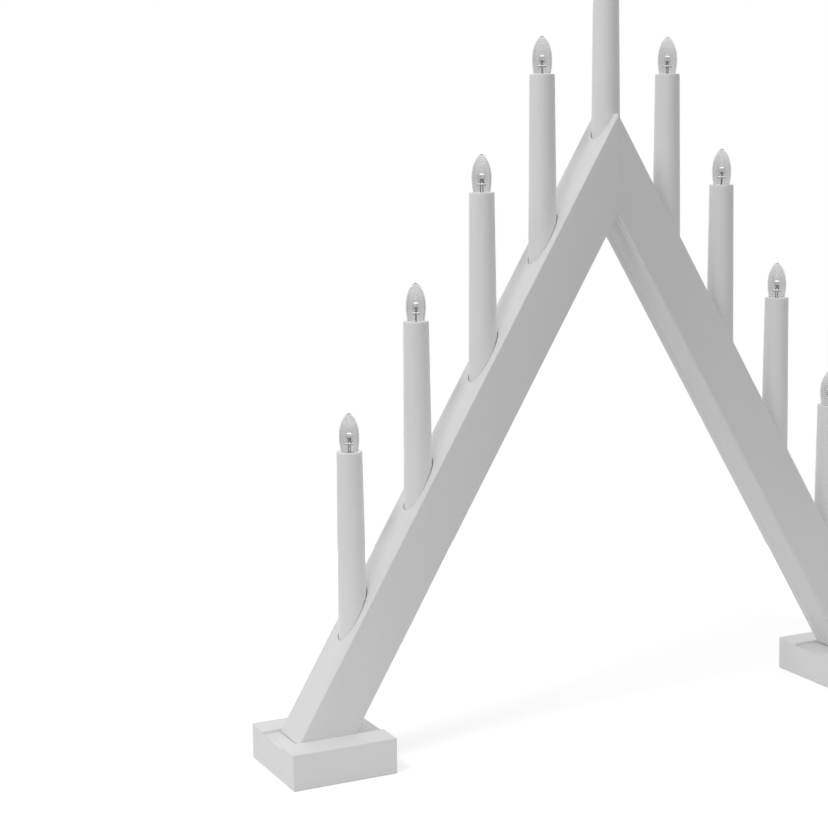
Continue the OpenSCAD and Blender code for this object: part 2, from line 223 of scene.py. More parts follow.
def letLightIn(tree, shader, tint, *kinds):
    # Light on its way to what stands behind the piece goes straight through it, dimmed by the tint
    clearWay = addNode(tree, "BsdfTransparent", {"Color": greyTone(tint)})
    mix = addNode(tree, "MixShader", {0: anyRay(tree, *kinds), 1: shader.outputs[0], 2: clearWay.outputs[0]})
    tree.links.new(mix.outputs[0], tree.nodes["Material Output"].inputs["Surface"])


# Painted wood: the grey of the paint and how far its blotches and its grain stray from it
paint = {
    "ior": 1.48,
    "grey": 0.84,
    "blotchStray": 0.008,
    "grainStray": 0.006,
    "roughness": (0.40, 0.52),
    "noises": {
        "grain": ((22, 520, 520), 5, 0.6),
        "brush": ((60, 1500, 1500), 3),
        "peel": ((620, 620, 620), 2),
        "blotch": ((9, 16, 16), 2),
    },
    "bumps": {"grain": (0.25, 0.05), "brush": (0.25, 0.03), "peel": (0.3, 0.04)},
}


def paintedWood(name, tilt):
    material, tree, shader = newMaterial(name, IOR=paint["ior"])
    noise = noisesOf(tree, paint, tilt)
    wide = strayed(tree, noise["blotch"], paint["grey"], paint["blotchStray"])
    fine = strayed(tree, noise["grain"], 0, paint["grainStray"])
    wire(tree, shader, Base_Color=greyOf(tree, calculated(tree, "ADD", wide, fine)),
         Roughness=spread(tree, noise["brush"], *paint["roughness"]))
    bumpChain(tree, shader, noise, paint)
    return material


# Candle sleeves: a milky plastic with long flow marks, in which light wanders milkDepth millimetres. The
# inner side of the lip has painted light, an emission that stands in for the light of the lamp and for
# what comes through the thin plastic there
plastic = {
    "ior": 1.49,
    "milkiness": 0.2,
    "milkDepth": 2.0,
    "grey": 0.905,
    "stray": 0.012,
    "letThrough": 0.86,
    "paintedLipLight": 0.4,
    "roughness": (0.34, 0.42),
    "noises": {
        "flow": ((240, 240, 14), 3, 0.3),
        "cloud": ((34, 34, 16), 3),
        "pits": ((1100, 1100, 1100), 2),
    },
    "bumps": {"flow": (0.25, 0.03), "pits": (0.2, 0.02)},
}


def milkyPlastic(name):
    material, tree, shader = newMaterial(
        name, IOR=plastic["ior"], Subsurface_Weight=plastic["milkiness"], Subsurface_Radius=(1, 1, 1),
        Subsurface_Scale=plastic["milkDepth"] * mm, Emission_Color=white)
    noise = noisesOf(tree, plastic)
    grey = strayed(tree, noise["cloud"], plastic["grey"], plastic["stray"])
    # The emission on the lip's inner side is painted light
    wire(tree, shader, Base_Color=greyOf(tree, grey),
         Roughness=spread(tree, noise["flow"], *plastic["roughness"]),
         Emission_Strength=calculated(tree, "MULTIPLY", marked(tree, "lip"), plastic["paintedLipLight"]))
    bumpChain(tree, shader, noise, plastic)
    letLightIn(tree, shader, plastic["letThrough"], "Is Shadow Ray")
    return material


# Lamp glass: its greys, each with how far up the glass it lies, how steeply it is seen where its wall starts
# and ends to look thicker and the share of light left there
clear = {
    "ior": 1.46,
    # The near-white grey just above the rim is painted light: it lifts the shaded mouth seen through the
    # glass
    "greys": ((0.195, 0.96), (0.23, 0.71), (0.5, 0.68), (1.0, 0.8)),
    "stray": 0.02,
    "edge": (0.42, 0.8, 0.5),
    "edgeBlend": 0.5,
    "roughness": (0.0, 0.05),
    "letIn": 0.96,
    "noises": {"wave": ((170, 170, 70), 2), "streak": ((900, 900, 30), 3)},
    "bumps": {"wave": (0.4, 0.05), "streak": (0.3, 0.02)},
}


def clearGlass(name):
    material, tree, shader = newMaterial(name, IOR=clear["ior"], Transmission_Weight=1.0)
    noise = noisesOf(tree, clear)
    fine = strayed(tree, noise["streak"], 0, clear["stray"])
    # stain holds the glass's tint by height, with the painted light just above the rim, and its fine streaks
    stain = calculated(tree, "ADD", fine, greyRamp(tree, marked(tree, "rise"), clear["greys"]))
    facing = addNode(tree, "LayerWeight", {"Blend": clear["edgeBlend"]}).outputs["Facing"]
    start, end, share = clear["edge"]
    seen = calculated(tree, "MULTIPLY", stain, ranged(tree, facing, start, end, 1, share))
    wire(tree, shader, Base_Color=greyOf(tree, seen),
         Roughness=spread(tree, noise["wave"], *clear["roughness"]))
    bumpChain(tree, shader, noise, clear)
    letLightIn(tree, shader, clear["letIn"], "Is Shadow Ray", "Is Diffuse Ray")
    return material


# Diode resin, slightly cloudy. The dome and the rim glow as a lit diode would, and this emission is also a
# painted highlight on the dome's top and a painted bright line at the rim. Only the rim isn't clear: how
# strongly the top glows and how far up that starts, the same for the rim and where it ends, and how clear
# the rim and the rest are
resin = {
    "ior": 1.52,
    "grey": 0.9,
    "domeGlowAndHighlight": 1.5,
    "domeHighlightFoot": 0.83,
    "rimGlowAndHighlight": 0.6,
    "rimTop": 0.07,
    "rimFade": 0.02,
    "clearness": (0.15, 0.92),
    "roughness": (0.03, 0.12),
    "letIn": 0.95,
    "noises": {"cloud": ((900, 900, 900), 2)},
}


def clearResin(name):
    material, tree, shader = newMaterial(name, IOR=resin["ior"], Base_Color=greyTone(resin["grey"]),
                                         Emission_Color=white)
    rise, cloud = marked(tree, "rise"), noisesOf(tree, resin)["cloud"]
    rimEnd = (resin["rimTop"], resin["rimTop"] + resin["rimFade"])
    low = ranged(tree, rise, *rimEnd, resin["rimGlowAndHighlight"], 0)
    high = ranged(tree, rise, resin["domeHighlightFoot"], 1, 0, resin["domeGlowAndHighlight"], interpolation_type="SMOOTHSTEP")
    # The emission is partly a painted highlight on the dome's top and a painted bright line at the rim
    wire(tree, shader, Roughness=spread(tree, cloud, *resin["roughness"]),
         Transmission_Weight=ranged(tree, rise, *rimEnd, *resin["clearness"]),
         Emission_Strength=calculated(tree, "ADD", low, high))
    letLightIn(tree, shader, resin["letIn"], "Is Shadow Ray", "Is Diffuse Ray")
    return material


# Metals, stained a little and with fine drawn marks, whose stretch each metal gives itself
metals = {
    "stain": ((350, 350, 350), 3),
    "level": (0.85, 1.05),
    "marksDetail": 4,
    "bumps": {"marks": (0.3, 0.02)},
}


def metal(name, colour, roughness, stretch):
    material, tree, shader = newMaterial(name, Metallic=1.0)
    marks = stretchedNoise(tree, 0, stretch, metals["marksDetail"])
    level = spread(tree, stretchedNoise(tree, 0, *metals["stain"]), *metals["level"])
    wire(tree, shader, Base_Color=tinted(tree, level, colour), Roughness=spread(tree, marks, *roughness))
    bumpChain(tree, shader, {"marks": marks}, metals)
    return material


# Opaque moulded parts with a fine skin
mouldings = {
    "ior": 1.5,
    "level": (0.94, 1.04),
    "noises": {"cloud": ((120, 120, 120), 3), "skin": ((1800, 1800, 1800), 2)},
    "bumps": {"skin": (0.25, 0.02)},
}


def moulded(name, colour, roughness):
    material, tree, shader = newMaterial(name, IOR=mouldings["ior"])
    noise = noisesOf(tree, mouldings)
    level = spread(tree, noise["cloud"], *mouldings["level"])
    wire(tree, shader, Base_Color=tinted(tree, level, colour),
         Roughness=spread(tree, noise["skin"], *roughness))
    bumpChain(tree, shader, noise, mouldings)
    return material


# Unpainted wood with its grain along X, or along the leg where it is tilted
bare = {
    "roughness": (0.55, 0.75),
    "noises": {"grain": ((40, 900, 900), 5, 0.8)},
    "bumps": {"grain": (0.5, 0.05)},
}


def bareWood(name, dark, pale, tilt=0):
    material, tree, shader = newMaterial(name)
    noise = noisesOf(tree, bare, tilt)
    shades = addNode(tree, "ValToRGB", {"Fac": noise["grain"]})
    for element, colour in zip(shades.color_ramp.elements, (dark, pale)):
        element.color = (*colour, 1)
    wire(tree, shader, Base_Color=shades.outputs[0],
         Roughness=spread(tree, noise["grain"], *bare["roughness"]))
    bumpChain(tree, shader, noise, bare)
    return material


leftPaint = paintedWood("paintLeftLeg", legSlope)
rightPaint = paintedWood("paintRightLeg", -legSlope)
footPaint = paintedWood("paintFeet", 0)
sleevePlastic = milkyPlastic("sleevePlastic")
lampGlass = clearGlass("lampGlass")
diodeResin = clearResin("diodeResin")
brass = metal("brass", (0.83, 0.64, 0.30), (0.22, 0.38), (500, 500, 2600))
# The leads' dark grey is a painted reflection: it stands in for the dark they show, where bright steel would
# mirror the white studio
leadSteelPaintedDark = metal("leadSteelPaintedDark", (0.24, 0.24, 0.24), (0.3, 0.45), (2600, 2600, 300))
zinc = metal("zincPlate", (0.66, 0.67, 0.68), (0.3, 0.45), (900, 900, 900))
solder = metal("solder", (0.70, 0.70, 0.70), (0.3, 0.5), (1500, 1500, 1500))
blackGlass = moulded("capInsulator", (0.018, 0.016, 0.015), (0.12, 0.25))
holderPlastic = moulded("holderPlastic", (0.86, 0.86, 0.84), (0.4, 0.5))
glandPlastic = moulded("glandPlastic", (0.75, 0.75, 0.74), (0.38, 0.5))
plateResin = moulded("diodePlate", (0.66, 0.66, 0.66), (0.3, 0.42))
wireSheath = moulded("wireSheath", (0.70, 0.70, 0.68), (0.42, 0.55))
beech = bareWood("beech", (0.36, 0.22, 0.12), (0.66, 0.48, 0.30))
# Bare wood kept dark, which also stands in as painted shade of the narrow gaps round the sleeves and legs
boreWoodAndGapShade = ((0.24, 0.20, 0.16), (0.46, 0.40, 0.33))
leftBore = bareWood("leftBoreWoodAndShade", *boreWoodAndGapShade, legSlope)
rightBore = bareWood("rightBoreWoodAndShade", *boreWoodAndGapShade, -legSlope)
print("materials made")

# Surfaces: how near points are merged, in metres, the angle in degrees from which an edge stays sharp, the
# largest share of a side that a rounded corner takes, how far out its guard points lie, and a direction that
# no wire follows
surface = {
    "merge": 1e-6,
    "sharp": 32,
    "largestCut": 0.3,
    "guard": 1.5,
    "aslant": (0.02, 1, 0.01),
}


def mergePoints(work):
    bmesh.ops.remove_doubles(work, verts=work.verts, dist=surface["merge"])


def dress(mesh, *materials):
    # Smooth shading, and these materials alone
    mesh.polygons.foreach_set("use_smooth", np.ones(len(mesh.polygons), bool))
    mesh.materials.clear()
    for material in materials:
        mesh.materials.append(material)


def gridPiece(name, grids, material, sharp=surface["sharp"]):
    # One mesh from surfaces given as grids of points, rows by columns by xyz: each quad joins neighbours,
    # columns close round, and points that meet are merged, so that seams and poles are closed
    corners, quads, count = [], [], 0
    for grid in grids:
        rows, columns = grid.shape[:2]
        row, column = np.meshgrid(np.arange(rows - 1), np.arange(columns), indexing="ij")
        beside = (column + 1) % columns
        ring = [row * columns + column, row * columns + beside,
                (row + 1) * columns + beside, (row + 1) * columns + column]
        quads.append(count + np.stack(ring, -1).reshape(-1, 4))
        corners.append(grid.reshape(-1, 3))
        count += rows * columns
    mesh = bpy.data.meshes.new(name)
    mesh.from_pydata(np.concatenate(corners).tolist(), [], np.concatenate(quads).tolist())
    work = bmesh.new()
    work.from_mesh(mesh)
    mergePoints(work)
    work.to_mesh(mesh)
    work.free()
    dress(mesh, material)
    mesh.set_sharp_from_angle(angle=math.radians(sharp))
    return newObject(name, mesh)


def pointsOf(piece):
    places = np.empty(len(piece.data.vertices) * 3, np.float32)
    piece.data.vertices.foreach_get("co", places)
    return places.reshape(-1, 3)


def mark(piece, name, values):
    # Keeps a value from 0 to 1 on each point for the material to read
    values = np.clip(values, 0, 1).astype(np.float32)
    piece.data.attributes.new(name, "FLOAT", "POINT").data.foreach_set("value", values)


def markRise(piece, bottom, top):
    # How far up each point lies between two heights
    mark(piece, "rise", (pointsOf(piece)[:, 2] - bottom) / (top - bottom))


def eased(share):
    # Smooth step: 3 t^2 - 2 t^3
    return share * share * (3 - 2 * share)


def roundAngles(sides):
    return np.linspace(0, 2 * np.pi, sides, endpoint=False)


def softened(corners, softness, steps=5):
    # An outline of (radius, height) corners: each corner becomes a parabola that starts and ends its
    # softness away, with one more point beyond each end so that the flats stay flat when shaded
    here, soft = np.array(corners, float), np.array(softness, float)[:, None]
    t = np.linspace(0, 1, steps)[None, :, None]
    cuts = []
    for near in (1, -1):
        side = np.roll(here, near, 0) - here
        length = np.linalg.norm(side, axis=1, keepdims=True)
        cuts.append((side / length * np.minimum(soft, surface["largestCut"] * length))[:, None])
    back, ahead = cuts
    here = here[:, None]
    curve = here + (1 - t) ** 2 * back + t ** 2 * ahead
    guards = [here + surface["guard"] * cut for cut in cuts]
    return np.concatenate([guards[0], curve, guards[1]], 1).reshape(-1, 2)


def turned(outline, sides=72, closed=False):
    # Surface of revolution: (radius, height) goes round Z as (radius cos a, radius sin a, height)
    if closed:
        outline = np.vstack([outline, outline[:1]])
    angle = roundAngles(sides)
    radius, height = outline[:, :1], outline[:, 1:]
    return np.stack([radius * np.cos(angle), radius * np.sin(angle), height + 0 * angle], -1)


def tube(path, radius, sides):
    # A round wire along a path: rings square to the path's direction, and a point at each end to close it
    ahead = np.gradient(path, axis=0)
    ahead /= np.linalg.norm(ahead, axis=1, keepdims=True)
    side = np.cross(ahead, surface["aslant"])
    side /= np.linalg.norm(side, axis=1, keepdims=True)
    other = np.cross(ahead, side)
    angle = roundAngles(sides)[None, :, None]
    rings = path[:, None] + radius * (np.cos(angle) * side[:, None] + np.sin(angle) * other[:, None])
    ends = [np.repeat(path[k][None, None], sides, 1) for k in (0, -1)]
    return np.concatenate([ends[0], rings, ends[1]])


def placed(grid, x, y, z, turn=0):
    # A grid in millimetres round its own axis, turned about Z by degrees and put at a place in metres
    a = math.radians(turn)
    spin = np.array([[math.cos(a), math.sin(a), 0], [-math.sin(a), math.cos(a), 0], [0, 0, 1]])
    return grid @ spin * mm + np.array([x, y, z])


# Candle places: the sleeve's box gives its axis and its rim
lampPlaces = {}
for number in lampNumbers:
    low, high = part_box(f"sleeve_{number}")
    lampPlaces[number] = ((low.x + high.x) / 2, (low.y + high.y) / 2, high.z)

# Wood, in millimetres and degrees: width, steps and least angle of the rounding laid over the eased edges,
# width, steps and height of the wider one round a leg's foot and where the paint ends above it, leaving a
# dark bare band that also stands in as painted shade at the joint, the angle under which flat faces are
# joined up, the radii between which a face that looks at a candle's axis is the wall of its hole and how
# straight it has to look, and the radius of the screws' heads
wood = {
    "softEdge": 0.18,
    "coverEdge": 0.2,
    "edgeSteps": 3,
    "edgeAngle": 25,
    "heelEdge": 1.2,
    "heelSteps": 6,
    "heelReach": 0.05,
    "bareHeelAndShade": 0.45,
    "flatAngle": 0.5,
    "boreRadii": (3, 11.5),
    "boreLook": 0.95,
    "screwHead": 4.0,
    "finish": {"left_leg": leftPaint, "right_leg": rightPaint, "left_foot": footPaint,
               "right_foot": footPaint, "left_cover": leftPaint, "right_cover": rightPaint},
    "bores": {"left_leg": leftBore, "right_leg": rightBore},
}


def roundHeel(work):
    # Rounds the edges of the face that a leg stands on, apart from its screw holes
    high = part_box("foot_screws")[1]
    axis = np.array([high.x, high.y]) - wood["screwHead"] * mm
    top = min(corner.co.z for corner in work.verts) + wood["heelReach"] * mm
    rim = []
    for edge in work.edges:
        if all(corner.co.z < top for corner in edge.verts):
            middle = (edge.verts[0].co + edge.verts[1].co) / 2
            if math.dist((abs(middle.x), abs(middle.y)), axis) > wood["screwHead"] * mm:
                rim.append(edge)
    bmesh.ops.bevel(work, geom=rim, offset=wood["heelEdge"] * mm, segments=wood["heelSteps"], profile=0.5,
                    affect="EDGES", clamp_overlap=False)


def markBores(mesh):
    # The walls of the candles' holes get the second material: faces that look straight at a candle's axis.
    # So does the lowest part of the leg, where the paint ends. That dark bare wood is also painted shade in
    # the narrow gaps round the sleeves and under the leg's foot
    count = len(mesh.polygons)
    centres, normals = np.empty(count * 3, np.float32), np.empty(count * 3, np.float32)
    mesh.polygons.foreach_get("center", centres)
    mesh.polygons.foreach_get("normal", normals)
    heights = centres[2::3]
    centres, normals = centres.reshape(-1, 3)[:, :2], normals.reshape(-1, 3)[:, :2]
    nearest, farthest = wood["boreRadii"]
    bored = heights < heights.min() + wood["bareHeelAndShade"] * mm
    for x, y, _ in lampPlaces.values():
        inward = np.array([x, y]) - centres
        distance = np.linalg.norm(inward, axis=1)
        near = (distance > nearest * mm) & (distance < farthest * mm)
        bored |= near & ((inward * normals).sum(1) > wood["boreLook"] * distance)
    mesh.polygons.foreach_set("material_index", bored.astype(np.int32))


def woodPiece(node, material, edge):
    # A merged copy of the node's mesh, its flat faces joined up and its edges rounded
    mesh = frame["nodes"][node].data.copy()
    work = bmesh.new()
    work.from_mesh(mesh)
    mergePoints(work)
    bmesh.ops.dissolve_limit(work, angle_limit=math.radians(wood["flatAngle"]), verts=work.verts,
                             edges=work.edges)
    if node in wood["bores"]:
        roundHeel(work)
    work.to_mesh(mesh)
    work.free()
    if node in wood["bores"]:
        dress(mesh, material, wood["bores"][node])
        markBores(mesh)
    else:
        dress(mesh, material)
    side, kind = node.split("_")
    piece = newObject(side + kind.capitalize(), mesh)
    rounding = piece.modifiers.new("roundedEdges", "BEVEL")
    rounding.width = edge * mm
    rounding.segments = wood["edgeSteps"]
    rounding.limit_method = "ANGLE"
    rounding.angle_limit = math.radians(wood["edgeAngle"])
    rounding.harden_normals = True
    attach(piece, "root")
    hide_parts(node)


for node, material in wood["finish"].items():
    woodPiece(node, material, wood["coverEdge" if "cover" in node else "softEdge"])
print("wood made")

# Candle sleeve, heights in millimetres from its rim, with the softness of its corners from the foot's inner
# one round. paintedLipLightFade is the width over which the lip's painted light fades out towards the rim
sleeve = {
    "baseRadius": 10.5,
    "rimRadius": 9.2,
    "wall": 1.4,
    "stand": 119.0,
    "lip": 1.6,
    "mouthRadius": 6.85,
    "paintedLipLightFade": 0.3,
    "boreEnd": -19.2,
    "softness": (0.2, 0.4, 0.6, 1.1, 0.5, 0.2, 0.2, 0.2, 0.4),
    "steps": 7,
    "sides": 96,
}


def sleevePiece(number):
    # A tapered tube with an inward lip: its softened outline turned round the candle's axis. The mark of the
    # lip's painted light is (mouth - r) / fade + 1, which is 1 at the mouth and 0 from a fade's width
    # outside it
    x, y, z = lampPlaces[number]
    low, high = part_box(f"sleeve_{number}")
    foot = (low.z - high.z) / mm
    base, rim, mouth = (sleeve[key] for key in ("baseRadius", "rimRadius", "mouthRadius"))
    lip, stand = -sleeve["lip"], -sleeve["stand"]
    bore, inner = rim - sleeve["wall"], base - sleeve["wall"]
    corners = [(inner, foot), (base, foot), (base, stand), (rim, 0), (mouth, 0), (mouth, lip), (bore, lip),
               (bore, sleeve["boreEnd"]), (inner, stand)]
    outline = softened(corners, sleeve["softness"], sleeve["steps"])
    grid = placed(turned(outline, sleeve["sides"], True), x, y, z)
    piece = gridPiece(f"sleeve{number}", [grid], sleevePlastic)
    reach = np.linalg.norm(pointsOf(piece)[:, :2] - (x, y), axis=1) / mm
    mark(piece, "lip", (mouth - reach) / sleeve["paintedLipLightFade"] + 1)
    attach(piece, "root")
    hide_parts(f"sleeve_{number}")


for number in lampNumbers:
    sleevePiece(number)
print("sleeves made")

# Lamp glass, heights in millimetres from the sleeve's rim: widest at the belly, drawn in at the waist,
# pointed above, and narrowed to its neck in the screw cap
glass = {
    "radius": 7.3,
    "height": 27.2,
    "belly": 10.5,
    "waistShare": 0.144,
    "archPower": 0.62,
    "neck": -4.5,
    "neckRadius": 4.3,
    "neckLead": 0.2,
    "neckRise": 2.2,
    "skirtEnd": -7.0,
    "wall": 0.7,
    "tipWall": 1.1,
    "rows": (34, 30),
    "sharp": 60,
}


def glassWidth(height):
    # Below the belly: radius (1 - share ((belly - h) / belly)^2)
    # Above it: radius (1 - u^2)^power, with u from 0 at the belly to 1 at the tip
    below = 1 - glass["waistShare"] * ((glass["belly"] - height) / glass["belly"]) ** 2
    rise = np.clip((height - glass["belly"]) / (glass["height"] - glass["belly"]), 0, 1)
    return glass["radius"] * np.where(height < glass["belly"], below, (1 - rise ** 2) ** glass["archPower"])


def glassPiece(number):
    body = f"lamp_{number}"
    belly, neck = glass["belly"], glass["neckRadius"]
    rise = glass["height"] - belly
    # The outer wall: heights in equal steps up to the belly and by the sine of equal angles above it, and a
    # width that goes from the neck's to glassWidth by a smooth step over the neck's rise
    lowRows, highRows = glass["rows"]
    heights = np.concatenate([np.linspace(glass["skirtEnd"], belly, lowRows, endpoint=False),
                              belly + rise * np.sin(np.linspace(0, np.pi / 2, highRows))])
    swell = eased(np.clip((heights - glass["neck"] + glass["neckLead"]) / glass["neckRise"], 0, 1))
    widths = neck + (glassWidth(heights) - neck) * swell
    widths[-1] = 0
    outer = np.stack([widths, heights], 1)
    # The inner wall: as thick as the wall below the belly, and in proportion above it, up to a thicker tip
    roof = 1 - glass["tipWall"] / rise
    below = heights < belly
    innerHeights = np.where(below, heights, belly + roof * (heights - belly))
    innerWidths = np.where(below, widths - glass["wall"], widths * (1 - glass["wall"] / glass["radius"]))
    inside = np.vstack([np.stack([innerWidths, innerHeights], 1)[::-1], outer[:1]])
    grids = [placed(turned(part), *lampPlaces[number]) for part in (outer, inside)]
    piece = gridPiece(f"lampGlass{number}", grids, lampGlass, glass["sharp"])
    rim = lampPlaces[number][2]
    markRise(piece, rim + glass["skirtEnd"] * mm, rim + glass["height"] * mm)
    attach(piece, body)
    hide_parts(f"lamp_glass_{number}")


# Screw cap, heights in millimetres from the sleeve's rim: crest radius, depth and pitch of the rolled thread
# and the length over which it fades out, the black insulator, with the heights of its steps above the cap's
# bottom, and the contact tip, a blob of solder with shallow dents
cap = {
    "crest": 4.7,
    "threadDepth": 0.38,
    "pitch": 1.814,
    "top": -4.5,
    "bottom": -14.0,
    "fade": 1.3,
    "wall": 0.3,
    "curl": 0.9,
    "curlRise": 0.1,
    "curlSoftness": (0, 0.1, 0.7, 0),
    "rows": 72,
    "sides": 64,
    "sharp": 50,
    "insulatorEnd": -15.5,
    "insulatorGap": 0.05,
    "insulatorInset": 0.1,
    "insulatorSteps": (0.1, 0.6, 1.5),
    "insulatorSoftness": (0, 0.3, 0.3, 0.2, 0.1, 0),
    "tipEnd": -16.7,
    "tipRadius": 1.6,
    "tipPowers": (0.8, 0.7),
    "tipRows": 12,
    "tipSides": 40,
    "dents": 3,
    "dentShare": 0.05,
}


def threadedWall(bottom, top, crest):
    # Rolled thread: radius = crest - depth w(h) (1 + cos(2 pi h / pitch - a)) / 2, a right-hand helix whose
    # depth w fades to nothing at both ends
    height = np.linspace(bottom, top, cap["rows"])[:, None]
    angle = roundAngles(cap["sides"])[None]
    fade = np.clip((height - bottom) / cap["fade"], 0, 1) * np.clip((top - height) / cap["fade"], 0, 1)
    groove = (1 + np.cos(2 * np.pi * height / cap["pitch"] - angle)) / 2
    radius = crest - cap["threadDepth"] * eased(fade) * groove
    return np.stack([radius * np.cos(angle), radius * np.sin(angle), height + 0 * angle], -1)


def shellGrids():
    # The cap's threaded wall, its rolled bottom edge, and the rings that join its two sides
    crest, bottom, curl, wall = (cap[key] for key in ("crest", "bottom", "curl", "wall"))
    outside, inside = (threadedWall(bottom + curl, cap["top"], radius) for radius in (crest, crest - wall))
    corners = [(crest - curl, bottom + wall), (crest - curl, bottom), (crest, bottom + cap["curlRise"]),
               (crest, bottom + curl)]
    edge = turned(softened(corners, cap["curlSoftness"]), cap["sides"])
    rim = np.stack([outside[-1], inside[-1]])
    hem = np.stack([inside[0], edge[0]])
    return [outside, inside[::-1], edge, rim, hem]


def insulatorGrid():
    # A plug that widens upwards in two slopes: its softened outline turned round the lamp's axis
    crest, bottom, curl, end = (cap[key] for key in ("crest", "bottom", "curl", "insulatorEnd"))
    low, middle, top = (bottom + step for step in cap["insulatorSteps"])
    reach = crest - cap["wall"] - cap["insulatorGap"]
    corners = [(0, end), (crest - 2 * curl, end), (crest - curl - cap["insulatorInset"], low),
               (reach, middle), (reach, top), (0, top)]
    return turned(softened(corners, cap["insulatorSoftness"]), cap["sides"])


def tipGrid():
    # Radius r sin(a)^p and drop d cos(a)^q, and the radius times 1 - share (1 + cos(n b)) / 2 for the dents
    bow = np.radians(np.linspace(0, 90, cap["tipRows"]))
    end, (wide, deep) = cap["insulatorEnd"], cap["tipPowers"]
    height = end + (cap["tipEnd"] - end) * np.cos(bow) ** deep
    blob = np.stack([cap["tipRadius"] * np.sin(bow) ** wide, height], 1)
    tip = turned(np.vstack([blob, [0, end]]), cap["tipSides"])
    ripple = 1 + np.cos(cap["dents"] * roundAngles(cap["tipSides"]))
    tip[:, :, :2] *= 1 - cap["dentShare"] * ripple[None, :, None] / 2
    return tip


def capPieces(number):
    place = lampPlaces[number]
    shell = [placed(grid, *place) for grid in shellGrids()]
    piece = gridPiece(f"lampCap{number}", shell, brass, cap["sharp"])
    seal = gridPiece(f"capInsulator{number}", [placed(insulatorGrid(), *place)], blackGlass)
    button = gridPiece(f"lampTip{number}", [placed(tipGrid(), *place)], solder, cap["sharp"])
    for made, body, slot in ((piece, f"lamp_{number}", "brass"), (seal, f"lamp_{number}", "brass"),
                             (button, f"lamp_{number}_tip", "solder")):
        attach(made, body)
    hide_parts(f"lamp_cap_{number}")
    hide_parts(f"lamp_tip_{number}")


# Lamp core: how far each lamp is turned in its holder, in degrees, its two leads, each with its side, what
# it runs up to and how far it leans in, then in millimetres the leads, the plate, the diode on it and the
# cup that holds the chip, whose radii are shares of the outer one, with the softness of their corners
core = {
    "turns": (35, 56, 20, 68, 10, 80, 42, 15, 62),
    "leads": {"a": (-1, "cupBottom", 0.7), "b": (1, "cupTop", 0.35)},
    "leadReach": 1.25,
    "leadRadius": 0.36,
    "leadFoot": -12.5,
    "leadEnd": 0.1,
    "leadRows": 40,
    "leadSides": 10,
    "bendStart": 0.6,
    "bendLength": 1.6,
    "plateRadius": 3.2,
    "plateBottom": 4.9,
    "plateTop": 5.7,
    "plateSoftness": (0, 0.25, 0.25, 0),
    "flangeRadius": 2.9,
    "flangeTop": 6.7,
    "lensRadius": 2.5,
    "lensTop": 13.3,
    "lensSoftness": (0, 0.1, 0.2, 0.1, 0),
    "domeLead": 1,
    "domeRows": 20,
    "cupRadius": 1.05,
    "cupShares": (0.6, 0.88, 0.45),
    "cupBottom": 8.4,
    "cupTop": 9.5,
    "cupFloor": 0.35,
    "cupSoftness": (0, 0.1, 0.05, 0.05, 0.05, 0),
    "cupSides": 32,
    "sides": 56,
    "sharp": 50,
}


def plateGrid():
    # A round plate: its softened outline turned round the lamp's axis
    radius, bottom, top = (core[key] for key in ("plateRadius", "plateBottom", "plateTop"))
    corners = [(0, bottom), (radius, bottom), (radius, top), (0, top)]
    return turned(softened(corners, core["plateSoftness"]), core["sides"])


def lensGrid():
    # A flange, a straight wall and a half round dome, (radius cos a, foot + radius sin a), turned round the
    # lamp's axis
    foot, top, flange, radius = (
        core[key] for key in ("plateTop", "flangeTop", "flangeRadius", "lensRadius"))
    domeFoot = core["lensTop"] - radius
    wallTop = domeFoot - core["domeLead"]
    corners = [(0, foot), (flange, foot), (flange, top), (radius, top), (radius, wallTop)]
    base = softened(corners, core["lensSoftness"])
    dome = np.radians(np.linspace(0, 90, core["domeRows"]))
    arch = np.stack([radius * np.cos(dome), domeFoot + radius * np.sin(dome)], 1)
    arch[-1, 0] = 0
    return turned(np.vstack([base, arch]), core["sides"])


def cupGrid():
    # A cup that widens upwards, inside and out, over a flat floor: its softened outline turned round the
    # lamp's axis
    radius, bottom, top = (core[key] for key in ("cupRadius", "cupBottom", "cupTop"))
    foot, brim, bed = (share * radius for share in core["cupShares"])
    floor = bottom + core["cupFloor"]
    corners = [(0, bottom), (foot, bottom), (radius, top), (brim, top), (bed, floor), (0, floor)]
    return turned(softened(corners, core["cupSoftness"]), core["cupSides"])


def leadGrid(side, head, lean):
    # Straight up through the plate, then bent in by its lean over the bend's length
    climb = np.linspace(0, 1, core["leadRows"])[:, None]
    height = core["leadFoot"] + (core[head] + core["leadEnd"] - core["leadFoot"]) * climb
    bend = eased(np.clip((height - core["plateTop"] - core["bendStart"]) / core["bendLength"], 0, 1))
    across = side * (core["leadReach"] - core["leadReach"] * lean * bend)
    return tube(np.hstack([across, 0 * height, height]), core["leadRadius"], core["leadSides"])


def corePieces(number):
    place, turn = lampPlaces[number], core["turns"][number - 1]
    parts = [(f"diodeLens{number}", lensGrid(), diodeResin, core["sharp"], "diode_resin"),
             (f"diodePlate{number}", plateGrid(), plateResin, surface["sharp"], "white_plastic")]
    parts += [(f"lampLead{number}{letter}", leadGrid(*bends), leadSteelPaintedDark, core["sharp"], "solder")
              for letter, bends in core["leads"].items()]
    parts.append((f"chipCup{number}", cupGrid(), leadSteelPaintedDark, core["sharp"], "solder"))
    for name, grid, material, sharp, slot in parts:
        piece = gridPiece(name, [placed(grid, *place, turn)], material, sharp)
        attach(piece, f"lamp_{number}")
        if slot == "diode_resin":
            markRise(piece, place[2] + core["plateTop"] * mm, place[2] + core["lensTop"] * mm)
            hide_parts(f"lamp_core_{number}")


for number in lampNumbers:
    glassPiece(number)
    capPieces(number)
    corePieces(number)
print("lamps made")

